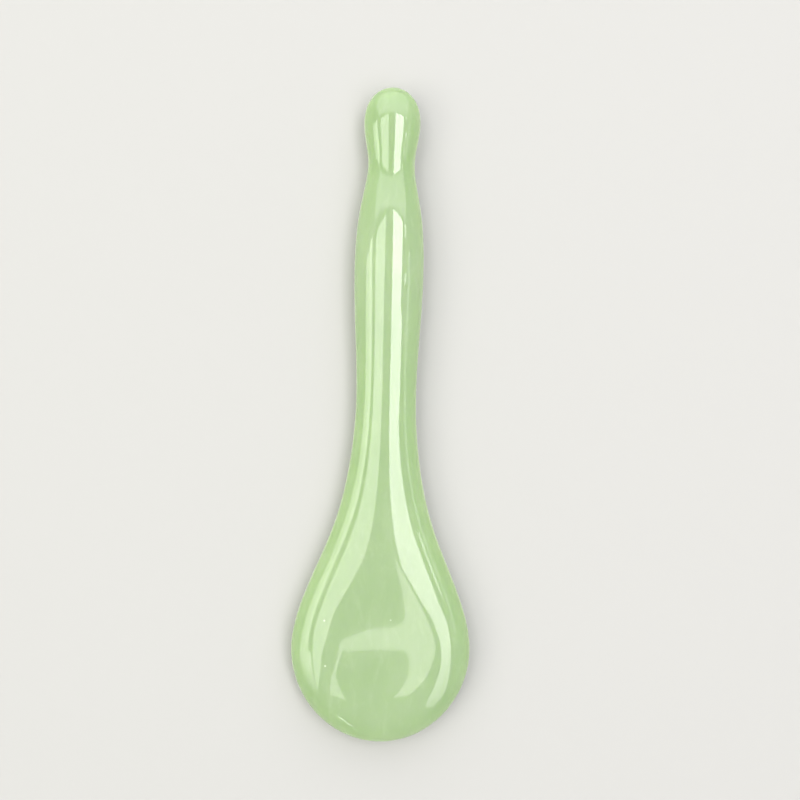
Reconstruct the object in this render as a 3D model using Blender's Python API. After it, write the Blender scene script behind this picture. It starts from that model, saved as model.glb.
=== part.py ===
"""Gua sha scraper, spoon shaped: one solid casting of polished jade-green resin.

A rounded massage tip runs through a narrow neck into a waisted handle, which flares into a
broad, flat-topped paddle with a full round rim. The real tool is a single moulded piece with
nothing inside it and nothing that moves, so it is one node.

Metres, +Z up. The scraper lies on its back: +Y runs from the paddle to the massage tip, the
origin is on the resting plane at the middle of the length, and the left and right halves mirror
each other in X.
"""

import math

import bmesh
import bpy
import numpy as np
from mathutils import Matrix, Vector

# --- Driving dimensions ---------------------------------------------------------------------

LENGTH = 0.155

# Where the outline and the thickness are set: distance from the massage tip, half width there,
# and half thickness along the middle.
STATIONS = {
    "massage_tip": (0.0090, 0.00670, 0.00390),
    "neck": (0.0170, 0.00560, 0.00340),
    "shoulder": (0.0290, 0.00725, 0.00455),
    "grip": (0.0430, 0.00825, 0.00545),
    "waist": (0.0710, 0.00715, 0.00410),
    "flare_start": (0.0910, 0.00865, 0.00420),
    "flare_middle": (0.1070, 0.01295, 0.00450),
    "flare_end": (0.1190, 0.01790, 0.00480),
    "paddle": (0.1330, 0.02120, 0.00490),
}

# Radii of the outline's two ends, seen from above.
TIP_END_RADIUS = 0.0060
PADDLE_END_RADIUS = 0.0198

# How flat the paddle is on top: 2 would be an ellipsoid, and a higher power keeps the middle
# level for longer and turns down later, nearer the rim.
RIM_POWER = 5.0

# Depth of the two small flats that the polished underside rests on, and how many times the body
# is rocked between them to lie level.
REST_FLAT_DEPTH = 0.00005
ROCKING_STEPS = 5

# Fineness of the surface: quads round a section, and rings from end to end.
SEGMENTS_ROUND = 48
RINGS_ALONG = 72

# Principled BSDF values of the resin.
JADE_GREEN = (0.44, 0.65, 0.33, 1.0)
POLISH_ROUGHNESS = 0.08
SUBSURFACE = 0.6
SUBSURFACE_RADIUS = (0.004, 0.007, 0.003)


# --- Curves that the surface is made from -----------------------------------------------------


def clamped_spline(knots, values, first_slope, last_slope):
    """A cubic spline through the values, with the slopes given at its two ends."""
    knots = np.array(knots)
    values = np.array(values)
    gaps = np.diff(knots)
    rises = np.diff(values) / gaps
    size = len(knots)
    matrix = np.zeros((size, size))
    right = np.zeros(size)
    matrix[0, :2] = 2 * gaps[0], gaps[0]
    right[0] = 6 * (rises[0] - first_slope)
    matrix[-1, -2:] = gaps[-1], 2 * gaps[-1]
    right[-1] = 6 * (last_slope - rises[-1])
    for i in range(1, size - 1):
        matrix[i, i - 1 : i + 2] = gaps[i - 1], 2 * (gaps[i - 1] + gaps[i]), gaps[i]
        right[i] = 6 * (rises[i] - rises[i - 1])
    bends = np.linalg.solve(matrix, right)

    def value_at(place):
        i = int(np.clip(np.searchsorted(knots, place) - 1, 0, size - 2))
        after = (place - knots[i]) / gaps[i]
        before = 1 - after
        bend = (before**3 - before) * bends[i] + (after**3 - after) * bends[i + 1]
        return before * values[i] + after * values[i + 1] + bend * gaps[i] ** 2 / 6

    return value_at


def crown(share):
    """Height of the face as a share of its full height. share is 0 at the outline and 1 at the
    middle of the paddle."""
    return math.sqrt(max(0.0, 1 - (1 - min(share, 1.0)) ** (RIM_POWER / 2)))


places = [place for place, _, _ in STATIONS.values()]
half_widths = [half_width for _, half_width, _ in STATIONS.values()]
half_thicknesses = [half_thickness for _, _, half_thickness in STATIONS.values()]
PADDLE_HALF_WIDTH = STATIONS["paddle"][1]

# The spline carries the squared half width, which meets each end in a straight line, so that the
# outline closes there on a true radius.
squared_half_width = clamped_spline(
    [0.0, *places, LENGTH],
    [0.0, *(half_width**2 for half_width in half_widths), 0.0],
    2 * TIP_END_RADIUS,
    -2 * PADDLE_END_RADIUS,
)

# Fullness is the half thickness that a section would have if it were as broad as the paddle. It
# is level beyond the first and the last station, where the two ends round off.
fullness_between = clamped_spline(
    places,
    [
        half_thickness / crown((half_width / PADDLE_HALF_WIDTH) ** 2)
        for half_width, half_thickness in zip(half_widths, half_thicknesses)
    ],
    0.0,
    0.0,
)


def surface_point(place, angle):
    """The point at this distance from the massage tip and this angle round the section, with the
    middle plane level and the massage tip's end at the origin."""
    squared = max(0.0, squared_half_width(place))
    fullness = fullness_between(min(max(place, places[0]), places[-1]))
    across = math.sqrt(squared) * math.cos(angle)
    share = squared * math.sin(angle) ** 2 / PADDLE_HALF_WIDTH**2
    height = math.copysign(fullness * crown(share), math.sin(angle))
    return Vector((across, -place, height))


# --- The casting --------------------------------------------------------------------------------


def shape_body(shape):
    """Draws a unit ball out into the scraper: the ball's pole-to-pole height becomes the distance
    from the massage tip, and its longitude the angle round the section."""
    for vertex in shape.verts:
        place = LENGTH * (1 - vertex.co.z) / 2
        angle = math.atan2(vertex.co.y, vertex.co.x)
        vertex.co = surface_point(place, angle)


def lowest_point(points):
    return min(points, key=lambda point: point.z)


def lay_on_its_back(shape):
    """Rocks the body until its grip and its paddle stand on one level plane, and centres it."""
    neck_of_paddle = -STATIONS["flare_start"][0]
    for _ in range(ROCKING_STEPS):
        points = [vertex.co for vertex in shape.verts]
        grip = lowest_point(point for point in points if point.y > neck_of_paddle)
        paddle = lowest_point(point for point in points if point.y < neck_of_paddle)
        slope = math.atan2(grip.z - paddle.z, grip.y - paddle.y)
        bmesh.ops.rotate(shape, verts=shape.verts, matrix=Matrix.Rotation(-slope, 3, "X"))
    points = [vertex.co for vertex in shape.verts]
    middle = (min(point.y for point in points) + max(point.y for point in points)) / 2
    sink = lowest_point(points).z + REST_FLAT_DEPTH
    bmesh.ops.translate(shape, verts=shape.verts, vec=(0, -middle, -sink))


def cut_rest_flats(shape):
    """Takes off what is below the resting plane, and closes each cut with one flat face."""
    everything = shape.verts[:] + shape.edges[:] + shape.faces[:]
    bmesh.ops.bisect_plane(
        shape,
        geom=everything,
        dist=1e-8,
        plane_co=(0, 0, 0),
        plane_no=(0, 0, 1),
        clear_inner=True,
    )
    rims = [edge for edge in shape.edges if edge.is_boundary]
    bmesh.ops.edgeloop_fill(shape, edges=rims)
    bmesh.ops.recalc_face_normals(shape, faces=shape.faces)


def jade_resin():
    material = bpy.data.materials.new("jade_resin")
    material.use_nodes = True
    resin = material.node_tree.nodes["Principled BSDF"]
    resin.inputs["Base Color"].default_value = JADE_GREEN
    resin.inputs["Roughness"].default_value = POLISH_ROUGHNESS
    resin.inputs["Metallic"].default_value = 0.0
    resin.inputs["Subsurface Weight"].default_value = SUBSURFACE
    resin.inputs["Subsurface Radius"].default_value = SUBSURFACE_RADIUS
    resin.inputs["Subsurface Scale"].default_value = 1.0
    return material


def scraper_body():
    shape = bmesh.new()
    bmesh.ops.create_uvsphere(
        shape, u_segments=SEGMENTS_ROUND, v_segments=RINGS_ALONG, radius=1.0
    )
    shape_body(shape)
    lay_on_its_back(shape)
    cut_rest_flats(shape)
    mesh = bpy.data.meshes.new("scraper_body")
    shape.to_mesh(mesh)
    shape.free()
    mesh.shade_smooth()
    mesh.materials.append(jade_resin())
    body = bpy.data.objects.new("scraper_body", mesh)
    bpy.context.scene.collection.objects.link(body)
    return body


def main():
    for old in list(bpy.data.objects):
        bpy.data.objects.remove(old)
    scraper_body()


main()
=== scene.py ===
"""Looks for the gua sha scraper: a fine, hand-polished surface, the translucent jade-green
resin it is cast in, and the plain studio it is shown in.

Metres, +Z up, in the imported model's frame: +Y runs from the paddle to the massage tip.
"""

import math

import bmesh
import bpy
import numpy as np
from mathutils import Matrix, Vector, noise


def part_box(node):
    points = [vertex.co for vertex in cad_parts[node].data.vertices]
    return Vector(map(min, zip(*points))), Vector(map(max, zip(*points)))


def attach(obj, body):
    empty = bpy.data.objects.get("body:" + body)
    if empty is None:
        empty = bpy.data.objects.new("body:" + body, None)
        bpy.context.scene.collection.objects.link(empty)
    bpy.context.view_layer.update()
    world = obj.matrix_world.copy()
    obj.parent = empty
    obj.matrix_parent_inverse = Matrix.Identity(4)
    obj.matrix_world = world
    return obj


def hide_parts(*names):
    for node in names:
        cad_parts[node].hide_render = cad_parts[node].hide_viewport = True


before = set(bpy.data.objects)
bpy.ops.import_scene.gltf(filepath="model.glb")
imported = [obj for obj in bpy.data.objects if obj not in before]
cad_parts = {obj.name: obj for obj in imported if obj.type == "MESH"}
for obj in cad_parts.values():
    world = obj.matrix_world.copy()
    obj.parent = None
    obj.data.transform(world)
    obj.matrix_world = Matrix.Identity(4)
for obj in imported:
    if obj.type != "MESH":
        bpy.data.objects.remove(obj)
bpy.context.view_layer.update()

BODY = "root"
NODE = "scraper_body"

# --- The casting's shape ------------------------------------------------------------------------

# The drawing of the scraper, in millimetres: distance from the massage tip, half width there, and
# half thickness along the middle.
DRAWN_LENGTH = 155.0
DRAWN_STATIONS = {
    "massage_tip": (9.0, 6.70, 3.90),
    "neck": (17.0, 5.60, 3.40),
    "shoulder": (29.0, 7.25, 4.55),
    "grip": (43.0, 8.25, 5.45),
    "waist": (71.0, 7.15, 4.10),
    "flare_start": (91.0, 8.65, 4.20),
    "flare_middle": (107.0, 12.95, 4.50),
    "flare_end": (119.0, 17.90, 4.80),
    "paddle": (133.0, 21.20, 4.90),
}
DRAWN_TIP_END_RADIUS = 6.0
DRAWN_PADDLE_END_RADIUS = 19.8

# How flat the paddle is on top: 2 would be an ellipsoid.
RIM_POWER = 5.0

# Depth of the two small flats that the underside rests on, and how many times the body is rocked
# between them to lie level.
DRAWN_REST_FLAT_DEPTH = 0.05
ROCKING_STEPS = 5

# Fineness of the surface: quads round a section, and rings from end to end.
SEGMENTS_ROUND = 144
RINGS_ALONG = 264

# Points this close to the resting plane count as lying on it.
CUT_TOLERANCE = 1e-8

# The slow, shallow waves that hand polishing leaves: their length and height.
POLISH_WAVE_LENGTH = 0.022
POLISH_WAVE_HEIGHT = 0.00002

# The mesh attribute that holds how thick the casting is under each point, as a share of the
# thickest place.
DEPTH_LAYER = "depth"

packed_low, packed_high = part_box(NODE)

# One drawn millimetre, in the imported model's metres.
MM = (packed_high.y - packed_low.y) / DRAWN_LENGTH


def clamped_spline(knots, values, first_slope, last_slope):
    """A cubic spline through the values, with the slopes given at its two ends."""
    knots = np.array(knots)
    values = np.array(values)
    gaps = np.diff(knots)
    rises = np.diff(values) / gaps
    size = len(knots)
    matrix = np.zeros((size, size))
    right = np.zeros(size)
    matrix[0, :2] = 2 * gaps[0], gaps[0]
    right[0] = 6 * (rises[0] - first_slope)
    matrix[-1, -2:] = gaps[-1], 2 * gaps[-1]
    right[-1] = 6 * (last_slope - rises[-1])
    for i in range(1, size - 1):
        matrix[i, i - 1 : i + 2] = gaps[i - 1], 2 * (gaps[i - 1] + gaps[i]), gaps[i]
        right[i] = 6 * (rises[i] - rises[i - 1])
    bends = np.linalg.solve(matrix, right)

    def value_at(place):
        i = int(np.clip(np.searchsorted(knots, place) - 1, 0, size - 2))
        after = (place - knots[i]) / gaps[i]
        before = 1 - after
        bend = (before**3 - before) * bends[i] + (after**3 - after) * bends[i + 1]
        return before * values[i] + after * values[i + 1] + bend * gaps[i] ** 2 / 6

    return value_at


def crown(share):
    """Height of the face as a share of its full height. share is 0 at the outline and 1 at the
    middle of the paddle."""
    return math.sqrt(max(0.0, 1 - (1 - min(share, 1.0)) ** (RIM_POWER / 2)))


places = [place for place, _, _ in DRAWN_STATIONS.values()]
half_widths = [half_width for _, half_width, _ in DRAWN_STATIONS.values()]
half_thicknesses = [half_thickness for _, _, half_thickness in DRAWN_STATIONS.values()]
PADDLE_HALF_WIDTH = DRAWN_STATIONS["paddle"][1]

# The spline carries the squared half width, which meets each end in a straight line, so that the
# outline closes there on a true radius.
squared_half_width = clamped_spline(
    [0.0, *places, DRAWN_LENGTH],
    [0.0, *(half_width**2 for half_width in half_widths), 0.0],
    2 * DRAWN_TIP_END_RADIUS,
    -2 * DRAWN_PADDLE_END_RADIUS,
)

# Fullness is the half thickness that a section would have if it were as broad as the paddle.
fullness_between = clamped_spline(
    places,
    [
        half_thickness / crown((half_width / PADDLE_HALF_WIDTH) ** 2)
        for half_width, half_thickness in zip(half_widths, half_thicknesses)
    ],
    0.0,
    0.0,
)


def surface_point(place, angle):
    """The point at this distance from the massage tip and this angle round the section."""
    squared = max(0.0, squared_half_width(place))
    fullness = fullness_between(min(max(place, places[0]), places[-1]))
    across = math.sqrt(squared) * math.cos(angle)
    share = squared * math.sin(angle) ** 2 / PADDLE_HALF_WIDTH**2
    height = math.copysign(fullness * crown(share), math.sin(angle))
    return MM * Vector((across, -place, height))


def shape_body(shape):
    """Draws a unit ball out into the scraper: the ball's pole-to-pole height becomes the distance
    from the massage tip, and its longitude the angle round the section. Each point keeps how thick
    the casting is there, as a share of the thickest place, for the resin's tint and the painted
    highlight along its rim."""
    depth = shape.verts.layers.float.new(DEPTH_LAYER)
    for vertex in shape.verts:
        place = DRAWN_LENGTH * (1 - vertex.co.z) / 2
        angle = math.atan2(vertex.co.y, vertex.co.x)
        vertex.co = surface_point(place, angle)
        vertex[depth] = abs(vertex.co.z) / (MM * max(half_thicknesses))


def lowest_point(points):
    return min(points, key=lambda point: point.z)


def lay_on_its_back(shape):
    """Rocks the body until its grip and its paddle stand on one level plane, and puts it where the
    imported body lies."""
    neck_of_paddle = -MM * DRAWN_STATIONS["flare_start"][0]
    for _ in range(ROCKING_STEPS):
        points = [vertex.co for vertex in shape.verts]
        grip = lowest_point(point for point in points if point.y > neck_of_paddle)
        paddle = lowest_point(point for point in points if point.y < neck_of_paddle)
        slope = math.atan2(grip.z - paddle.z, grip.y - paddle.y)
        bmesh.ops.rotate(shape, verts=shape.verts, matrix=Matrix.Rotation(-slope, 3, "X"))
    points = [vertex.co for vertex in shape.verts]
    tip_end = max(point.y for point in points)
    sink = lowest_point(points).z + MM * DRAWN_REST_FLAT_DEPTH
    move = (0, packed_high.y - tip_end, packed_low.z - sink)
    bmesh.ops.translate(shape, verts=shape.verts, vec=move)


def wave_by_hand(shape):
    """Moves the surface in and out by the shallow waves that hand polishing leaves."""
    shape.normal_update()
    heights = []
    for vertex in shape.verts:
        heights.append(POLISH_WAVE_HEIGHT * noise.noise(vertex.co / POLISH_WAVE_LENGTH))
    for vertex, height in zip(shape.verts, heights):
        vertex.co += vertex.normal * height


def cut_rest_flats(shape):
    """Takes off what is below the resting plane, and closes each cut with one flat face."""
    everything = shape.verts[:] + shape.edges[:] + shape.faces[:]
    bmesh.ops.bisect_plane(
        shape,
        geom=everything,
        dist=CUT_TOLERANCE,
        plane_co=(0, 0, packed_low.z),
        plane_no=(0, 0, 1),
        clear_inner=True,
    )
    rims = [edge for edge in shape.edges if edge.is_boundary]
    bmesh.ops.edgeloop_fill(shape, edges=rims)
    bmesh.ops.recalc_face_normals(shape, faces=shape.faces)


def polished_scraper(material):
    shape = bmesh.new()
    bmesh.ops.create_uvsphere(
        shape, u_segments=SEGMENTS_ROUND, v_segments=RINGS_ALONG, radius=1.0
    )
    shape_body(shape)
    lay_on_its_back(shape)
    wave_by_hand(shape)
    cut_rest_flats(shape)
    mesh = bpy.data.meshes.new("polished_scraper")
    shape.to_mesh(mesh)
    shape.free()
    mesh.shade_smooth()
    mesh.materials.append(material)
    body = bpy.data.objects.new("polished_scraper", mesh)
    bpy.context.scene.collection.objects.link(body)
    return body


# --- Materials ----------------------------------------------------------------------------------

BLACK = (0.0, 0.0, 0.0)
WHITE = (1.0, 1.0, 1.0)

# The colour sockets of a Mix node, which share their names with its number sockets.
FIRST_COLOUR = 6
SECOND_COLOUR = 7
MIXED_COLOUR = 2

# A painted highlight along the rim, standing in for the bright line of reflected and scattered light
# at the thin edge, then the colour where the casting is thin and where it is thick, and the shares
# of the greatest thickness that those three belong to.
PAINTED_RIM_HIGHLIGHT = (0.57, 0.70, 0.43)
THIN_JADE = (0.345, 0.505, 0.225)
THICK_JADE = (0.375, 0.508, 0.277)
RIM_DEPTH = 0.05
THIN_DEPTH = 0.26
THICK_DEPTH = 0.8

# Broad clouds in the resin: how many to a metre in X, Y and Z, what the clear and the clouded
# places multiply the tint by, and the noise levels at which it is fully clear and fully clouded.
CLOUDS_PER_METRE = (95.0, 45.0, 95.0)
CLOUD_DETAIL = 4.0
CLOUD_ROUGHNESS = 0.6
CLEAR_TINT = (0.935, 0.955, 0.925)
CLOUDED_TINT = (1.065, 1.045, 1.075)
CLEAR_LEVEL = 0.3
CLOUDED_LEVEL = 0.7

# Finer milky wisps, drawn out along the length, and the noise levels that they start and are
# strongest at.
WISPS_PER_METRE = (330.0, 130.0, 330.0)
WISP_DETAIL = 6.0
WISP_ROUGHNESS = 0.65
WISP_TWIST = 0.6
WISPS_START = 0.52
WISPS_STRONGEST = 0.78
WISP_STRENGTH = 0.35
MILKY_JADE = (0.50, 0.62, 0.38)

# Milky pips: the cells that they lie in, and the sizes of a pip's solid core and of its edge as
# shares of a cell. A cell has a value from 0 to 1, and holds a pip only near the upper end.
PIP_CELLS_PER_METRE = 170.0
PIP_CORE = 0.02
PIP_EDGE = 0.055
EMPTY_CELL = 0.66
PIP_CELL = 0.7
PIP_WHITE = (0.72, 0.80, 0.62)

# Buffing hairlines along the length: the noise levels that they run between, how deep they are,
# and the least and the greatest roughness of the resin under the top gloss.
HAIRLINES_PER_METRE = (2600.0, 60.0, 2600.0)
HAIRLINE_DETAIL = 2.0
HAIRLINE_ROUGHNESS = 0.7
HAIRLINE_LEVELS = (0.35, 0.65)
HAIRLINE_DEPTH = 0.0000004
GLOSSIEST = 0.03
DULLEST = 0.07

# The least top gloss along a hairline, the paddle's top gloss, and the places along Y between
# which the paddle's gives way to the handle's full one.
SCRATCHED_COAT = 0.75
WORN_COAT = 0.56
WORN_PLACE = -0.035
UNWORN_PLACE = 0.01

# How the resin bends and scatters light. The reach is in metres.
REFRACTION = 1.55
TOP_GLOSS_ROUGHNESS = 0.015
SCATTER = 0.8
SCATTER_COLOUR = (0.9, 1.0, 0.6)
SCATTER_REACH = 0.006

# The floor's paint, and the distances from the scraper at which it starts to take on the
# horizon's brightness and has taken it on in full.
FLOOR_PAINT = (0.59, 0.585, 0.57)
FLOOR_ROUGHNESS = 0.9
SWEEP_STARTS = 0.2
SWEEP_ENDS = 1.0
HORIZON = (0.74, 0.74, 0.72)

# How high the softboxes hang over the floor.
SOFTBOX_HEIGHT = 1.0


def new_material(name):
    material = bpy.data.materials.new(name)
    material.use_nodes = True
    nodes = material.node_tree.nodes
    return material, nodes, material.node_tree.links, nodes["Principled BSDF"]


def add_node(nodes, kind, label, **values):
    """A node with a label, and its named input values set."""
    made = nodes.new(kind)
    made.label = label
    for name, value in values.items():
        made.inputs[name.replace("_", " ")].default_value = value
    return made


def object_place(nodes):
    """Where a point is on its object."""
    return add_node(nodes, "ShaderNodeTexCoord", "place").outputs["Object"]


def one_axis(nodes, links, vector, axis):
    """One part of a vector: "X", "Y" or "Z"."""
    split = nodes.new("ShaderNodeSeparateXYZ")
    links.new(vector, split.inputs["Vector"])
    return split.outputs[axis]


def drawn_out_noise(nodes, links, label, per_metre, detail, roughness, distortion=0.0):
    """Noise with this many lumps to a metre along each axis."""
    squeeze = add_node(nodes, "ShaderNodeMapping", label + " size", Scale=per_metre)
    links.new(object_place(nodes), squeeze.inputs["Vector"])
    lumps = add_node(
        nodes,
        "ShaderNodeTexNoise",
        label,
        Scale=1.0,
        Detail=detail,
        Roughness=roughness,
        Distortion=distortion,
    )
    links.new(squeeze.outputs["Vector"], lumps.inputs["Vector"])
    return lumps.outputs["Fac"]


def ramp(nodes, links, label, value, stops):
    """The colour that the value picks from these (position, colour) stops."""
    made = nodes.new("ShaderNodeValToRGB")
    made.label = label
    elements = made.color_ramp.elements
    while len(elements) < len(stops):
        elements.new(0.5)
    for element, (position, colour) in zip(elements, stops):
        element.position = position
        element.color = (*colour, 1.0)
    links.new(value, made.inputs["Fac"])
    return made.outputs["Color"]


def map_range(nodes, links, label, value, source, target=(0.0, 1.0), easing="LINEAR"):
    """The value, taken from one (low, high) range to another."""
    made = add_node(
        nodes,
        "ShaderNodeMapRange",
        label,
        From_Min=source[0],
        From_Max=source[1],
        To_Min=target[0],
        To_Max=target[1],
    )
    made.interpolation_type = easing
    links.new(value, made.inputs["Value"])
    return made.outputs["Result"]


def multiply(nodes, links, label, first, second):
    """Multiplies a socket by another socket, or by a number."""
    product = nodes.new("ShaderNodeMath")
    product.label = label
    product.operation = "MULTIPLY"
    links.new(first, product.inputs[0])
    if isinstance(second, float):
        product.inputs[1].default_value = second
    else:
        links.new(second, product.inputs[1])
    return product.outputs["Value"]


def mix_colours(nodes, links, label, blend, factor, first, second):
    """Blends two colours. factor is a number or a socket, and each colour a tuple or a socket."""
    mix = nodes.new("ShaderNodeMix")
    mix.label = label
    mix.data_type = "RGBA"
    mix.blend_type = blend
    if isinstance(factor, float):
        mix.inputs["Factor"].default_value = factor
    else:
        links.new(factor, mix.inputs["Factor"])
    for socket, colour in ((FIRST_COLOUR, first), (SECOND_COLOUR, second)):
        if isinstance(colour, tuple):
            mix.inputs[socket].default_value = (*colour, 1.0)
        else:
            links.new(colour, mix.inputs[socket])
    return mix.outputs[MIXED_COLOUR]


def thickness_tint_and_rim_highlight(nodes, links):
    """Palest at the rim, where the pale colour is a painted highlight standing in for the bright
    line of light at the thin edge; strongest just inside it, and a little greyer where the casting
    is thick."""
    depth = nodes.new("ShaderNodeAttribute")
    depth.label = "thickness under the surface"
    depth.attribute_name = DEPTH_LAYER
    # The first stop is a painted highlight along the rim, not the resin's own colour.
    stops = ((RIM_DEPTH, PAINTED_RIM_HIGHLIGHT), (THIN_DEPTH, THIN_JADE), (THICK_DEPTH, THICK_JADE))
    return ramp(nodes, links, "thin to thick", depth.outputs["Fac"], stops)


def cloud_tint(nodes, links):
    clouds = drawn_out_noise(
        nodes, links, "clouds", CLOUDS_PER_METRE, CLOUD_DETAIL, CLOUD_ROUGHNESS
    )
    stops = ((CLEAR_LEVEL, CLEAR_TINT), (CLOUDED_LEVEL, CLOUDED_TINT))
    return ramp(nodes, links, "clear to clouded", clouds, stops)


def wisp_mask(nodes, links):
    wisps = drawn_out_noise(
        nodes, links, "wisps", WISPS_PER_METRE, WISP_DETAIL, WISP_ROUGHNESS, WISP_TWIST
    )
    stops = ((WISPS_START, BLACK), (WISPS_STRONGEST, WHITE))
    milkiest = ramp(nodes, links, "only the milkiest", wisps, stops)
    return multiply(nodes, links, "wisp strength", milkiest, WISP_STRENGTH)


def pip_mask(nodes, links):
    cells = add_node(nodes, "ShaderNodeTexVoronoi", "pips", Scale=PIP_CELLS_PER_METRE)
    links.new(object_place(nodes), cells.inputs["Vector"])
    spot_stops = ((PIP_CORE, WHITE), (PIP_EDGE, BLACK))
    spots = ramp(nodes, links, "pip size", cells.outputs["Distance"], spot_stops)
    cell_stops = ((EMPTY_CELL, BLACK), (PIP_CELL, WHITE))
    chosen = ramp(nodes, links, "few cells hold a pip", cells.outputs["Color"], cell_stops)
    return multiply(nodes, links, "pips shown", spots, chosen)


def cast_colour(nodes, links):
    """Pale jade, tinted by its thickness and with a painted highlight along the rim, with clouds,
    milky wisps and a few pips in it.
    """
    clouded = mix_colours(
        nodes,
        links,
        "clouds",
        "MULTIPLY",
        1.0,
        thickness_tint_and_rim_highlight(nodes, links),
        cloud_tint(nodes, links),
    )
    wisped = mix_colours(
        nodes, links, "wisps", "MIX", wisp_mask(nodes, links), clouded, MILKY_JADE
    )
    return mix_colours(nodes, links, "pips", "MIX", pip_mask(nodes, links), wisped, PIP_WHITE)


def polish(nodes, links, resin):
    """Buffing hairlines along the length, in both layers of gloss and faintly in the surface. The
    paddle is the working end, and has lost some of its top gloss."""
    length = one_axis(nodes, links, object_place(nodes), "Y")
    hairlines = drawn_out_noise(
        nodes, links, "hairlines", HAIRLINES_PER_METRE, HAIRLINE_DETAIL, HAIRLINE_ROUGHNESS
    )
    worn = map_range(
        nodes, links, "worn", length, (WORN_PLACE, UNWORN_PLACE), (WORN_COAT, 1.0)
    )
    scratched = map_range(
        nodes, links, "scratched", hairlines, HAIRLINE_LEVELS, (SCRATCHED_COAT, 1.0)
    )
    links.new(multiply(nodes, links, "top gloss", worn, scratched), resin.inputs["Coat Weight"])
    gloss = map_range(nodes, links, "gloss", hairlines, HAIRLINE_LEVELS, (GLOSSIEST, DULLEST))
    links.new(gloss, resin.inputs["Roughness"])
    bump = add_node(nodes, "ShaderNodeBump", "hairline depth", Strength=1.0, Distance=HAIRLINE_DEPTH)
    links.new(hairlines, bump.inputs["Height"])
    links.new(bump.outputs["Normal"], resin.inputs["Normal"])


def jade_resin():
    material, nodes, links, resin = new_material("jade_resin_cast")
    links.new(cast_colour(nodes, links), resin.inputs["Base Color"])
    polish(nodes, links, resin)
    resin.inputs["IOR"].default_value = REFRACTION
    resin.inputs["Coat Roughness"].default_value = TOP_GLOSS_ROUGHNESS
    resin.inputs["Coat IOR"].default_value = REFRACTION
    resin.inputs["Subsurface Weight"].default_value = SCATTER
    resin.inputs["Subsurface Radius"].default_value = SCATTER_COLOUR
    resin.inputs["Subsurface Scale"].default_value = SCATTER_REACH
    return material


def pale_floor():
    """A pale floor that takes on the horizon's brightness as it goes away, like a studio's
    sweep."""
    material, nodes, links, paint = new_material("pale_floor")
    distance = nodes.new("ShaderNodeVectorMath")
    distance.operation = "LENGTH"
    links.new(object_place(nodes), distance.inputs[0])
    away = map_range(
        nodes,
        links,
        "away",
        distance.outputs["Value"],
        (SWEEP_STARTS, SWEEP_ENDS),
        easing="SMOOTHSTEP",
    )
    paint_fades = mix_colours(nodes, links, "paint", "MIX", away, FLOOR_PAINT, BLACK)
    glow_rises = mix_colours(nodes, links, "glow", "MIX", away, BLACK, HORIZON)
    links.new(paint_fades, paint.inputs["Base Color"])
    links.new(glow_rises, paint.inputs["Emission Color"])
    paint.inputs["Emission Strength"].default_value = 1.0
    paint.inputs["Roughness"].default_value = FLOOR_ROUGHNESS
    paint.inputs["Specular IOR Level"].default_value = 0.0
    return material


def lit_cloth(name, brightness, colour, glow):
    """The lit front of a softbox. glow holds the shares of the softboxes' height along Y at which
    the cloth is dark and at which it is fully lit, or is None for an evenly lit one."""
    material, nodes, links, cloth = new_material(name)
    cloth.inputs["Base Color"].default_value = (*BLACK, 1.0)
    cloth.inputs["Specular IOR Level"].default_value = 0.0
    cloth.inputs["Emission Color"].default_value = (*colour, 1.0)
    cloth.inputs["Emission Strength"].default_value = brightness
    if glow:
        dark, lit = (SOFTBOX_HEIGHT * share for share in glow)
        place = one_axis(nodes, links, object_place(nodes), "Y")
        rise = map_range(nodes, links, "glow", place, (dark, lit))
        glowing = mix_colours(nodes, links, "glowing cloth", "MIX", rise, BLACK, colour)
        links.new(glowing, cloth.inputs["Emission Color"])
    return material


# --- The studio ---------------------------------------------------------------------------------

FLOOR_SIZE = 12.0

# The room overhead, at its left and its right, and how high up it is fully as dark as that, as
# the height of a direction one unit long.
OVERHEAD_LEFT = (0.42, 0.41, 0.37)
OVERHEAD_RIGHT = (0.37, 0.40, 0.42)
OVERHEAD_STARTS = 0.55

# The camera hangs over the scraper. Its distance is from the middle of the thickness, and the
# view's width is measured there.
CAMERA_DISTANCE = 0.300
VIEW_WIDTH = 0.1895
CAMERA_PLACE = (0.0033, 0.0036)
CAMERA_ROLL_DEGREES = 1.32
NEAREST_SEEN = 0.01

# Colours of the softboxes' cloth.
NEUTRAL = (1.0, 1.0, 1.0)
SOFT_WHITE = (1.0, 0.98, 0.96)
ROSE_WHITE = (1.0, 0.97, 1.0)
COOL_WHITE = (0.95, 1.0, 1.0)
CREAM = (1.0, 1.0, 0.95)
PALE_YELLOW = (1.0, 1.0, 0.92)
PALE_LIME = (0.98, 1.0, 0.92)
LIME = (0.98, 1.0, 0.88)

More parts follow.
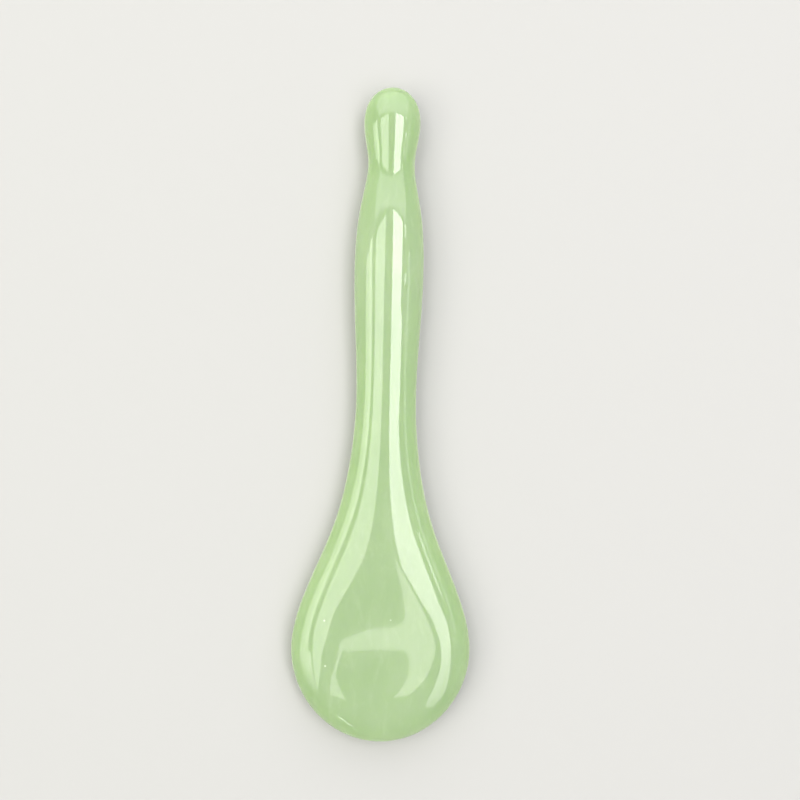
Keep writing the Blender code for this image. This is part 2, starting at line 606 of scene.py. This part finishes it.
# Flat softboxes over the scraper: each one's brightness, its colour, its glow as
# lit_cloth() takes it, and the corners of its outline in shares of its height.
SOFTBOXES = {
    "right": (
        5.7,
        ROSE_WHITE,
        (-1.45, 0.2),
        (
            (0.10, 0.43), (0.52, 0.41), (0.50, -0.01), (0.60, -0.06), (0.64, -0.38),
            (0.88, -0.85), (0.82, -1.2), (0.44, -0.81), (0.34, -0.62), (0.33, -0.35),
            (0.30, -0.2), (0.24, -0.135), (0.12, -0.10),
        ),
    ),
    "right_edge": (
        1.5,
        COOL_WHITE,
        None,
        ((0.95, -0.14), (0.95, 0.3), (1.18, 0.3), (1.18, -0.14)),
    ),
    "right_slot": (
        3.6,
        NEUTRAL,
        None,
        ((0.68, 0.065), (0.68, 0.12), (0.80, 0.145), (0.80, 0.09)),
    ),
    "right_far_slot": (
        3.5,
        NEUTRAL,
        None,
        ((0.64, 0.34), (0.64, 0.42), (0.75, 0.42), (0.75, 0.34)),
    ),
    "left_inner": (
        3.0,
        PALE_LIME,
        None,
        (
            (-0.15, 0.41), (-0.55, 0.34), (-0.52, -0.34), (-0.60, -0.66), (-0.34, -0.38),
            (-0.235, -0.22), (-0.22, -0.13), (-0.15, -0.085),
        ),
    ),
    "left_outer": (
        3.5,
        LIME,
        None,
        ((-0.82, 0.36), (-1.0, 0.36), (-1.0, -0.30), (-0.725, -0.30), (-0.725, 0.0)),
    ),
    "left_edge": (
        2.6,
        LIME,
        None,
        ((-1.0, 0.3), (-1.5, 0.3), (-1.6, -0.30), (-1.0, -0.30)),
    ),
    "left_near": (
        3.3,
        PALE_YELLOW,
        (-1.3, -0.35),
        (
            (-0.56, -0.31), (-1.65, -0.31), (-1.95, -0.75), (-1.9, -1.15), (-1.1, -1.05),
            (-0.62, -0.68),
        ),
    ),
    "left_lamp": (
        5.0,
        CREAM,
        None,
        ((-0.60, -1.2), (-0.50, -1.2), (-0.42, -1.6), (-0.52, -1.6)),
    ),
    "near": (
        2.5,
        SOFT_WHITE,
        None,
        (
            (0.08, -0.095), (0.145, -0.125), (0.19, -0.165), (0.225, -0.25), (0.16, -0.35),
            (0.09, -0.405), (0.03, -0.385), (0.045, -0.33), (0.035, -0.28), (0.02, -0.262),
            (-0.085, -0.264), (-0.155, -0.35), (-0.165, -0.49), (-0.33, -0.56), (-0.205, -0.375),
            (-0.11, -0.275), (-0.1, -0.235), (0.0, -0.23), (0.035, -0.208), (0.073, -0.14),
        ),
    ),
    "far": (
        1.6,
        NEUTRAL,
        (0.35, 0.47),
        ((-0.7, 0.44), (-1.5, 1.3), (-3.0, 6.0), (3.0, 6.0), (1.5, 1.3), (0.7, 0.44)),
    ),
}


def softbox(name, brightness, colour, glow, outline):
    shape = bmesh.new()
    corners = [shape.verts.new((SOFTBOX_HEIGHT * x, SOFTBOX_HEIGHT * y, 0)) for x, y in outline]
    shape.faces.new(corners)
    mesh = bpy.data.meshes.new(name)
    shape.to_mesh(mesh)
    shape.free()
    mesh.materials.append(lit_cloth(name, brightness, colour, glow))
    box = bpy.data.objects.new(name, mesh)
    box.location.z = SOFTBOX_HEIGHT
    box.visible_camera = False
    bpy.context.scene.collection.objects.link(box)


def floor():
    shape = bmesh.new()
    bmesh.ops.create_grid(shape, x_segments=1, y_segments=1, size=FLOOR_SIZE / 2)
    mesh = bpy.data.meshes.new("floor")
    shape.to_mesh(mesh)
    shape.free()
    mesh.materials.append(pale_floor())
    plane = bpy.data.objects.new("floor", mesh)
    bpy.context.scene.collection.objects.link(plane)


def surroundings():
    """A room that is as pale as the floor's edge at the horizon and darker overhead, where it is
    a little warmer on the left than on the right."""
    world = bpy.data.worlds.new("studio")
    world.use_nodes = True
    nodes, links = world.node_tree.nodes, world.node_tree.links
    direction = nodes.new("ShaderNodeTexCoord").outputs["Generated"]
    across = one_axis(nodes, links, direction, "X")
    up = one_axis(nodes, links, direction, "Z")
    rightwards = map_range(nodes, links, "left to right", across, (-1.0, 1.0))
    upwards = map_range(nodes, links, "up", up, (0.0, OVERHEAD_STARTS), easing="SMOOTHSTEP")
    overhead = mix_colours(
        nodes, links, "overhead", "MIX", rightwards, OVERHEAD_LEFT, OVERHEAD_RIGHT
    )
    room = mix_colours(nodes, links, "room", "MIX", upwards, HORIZON, overhead)
    links.new(room, nodes["Background"].inputs["Color"])
    bpy.context.scene.world = world


def studio():
    bpy.context.scene.view_settings.view_transform = "Standard"
    surroundings()
    for name, values in SOFTBOXES.items():
        softbox("softbox_" + name, *values)
    floor()


def camera():
    lens = bpy.data.cameras.new("camera")
    lens.lens = lens.sensor_width * CAMERA_DISTANCE / VIEW_WIDTH
    lens.clip_start = NEAREST_SEEN
    viewer = bpy.data.objects.new("camera", lens)
    middle = (packed_low.z + packed_high.z) / 2
    viewer.location = (*CAMERA_PLACE, middle + CAMERA_DISTANCE)
    viewer.rotation_euler = (0, 0, math.radians(CAMERA_ROLL_DEGREES))
    bpy.context.scene.collection.objects.link(viewer)
    bpy.context.scene.camera = viewer


# --- Putting it together ------------------------------------------------------------------------

scraper = polished_scraper(jade_resin())
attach(scraper, BODY)
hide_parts(NODE)
studio()
camera()
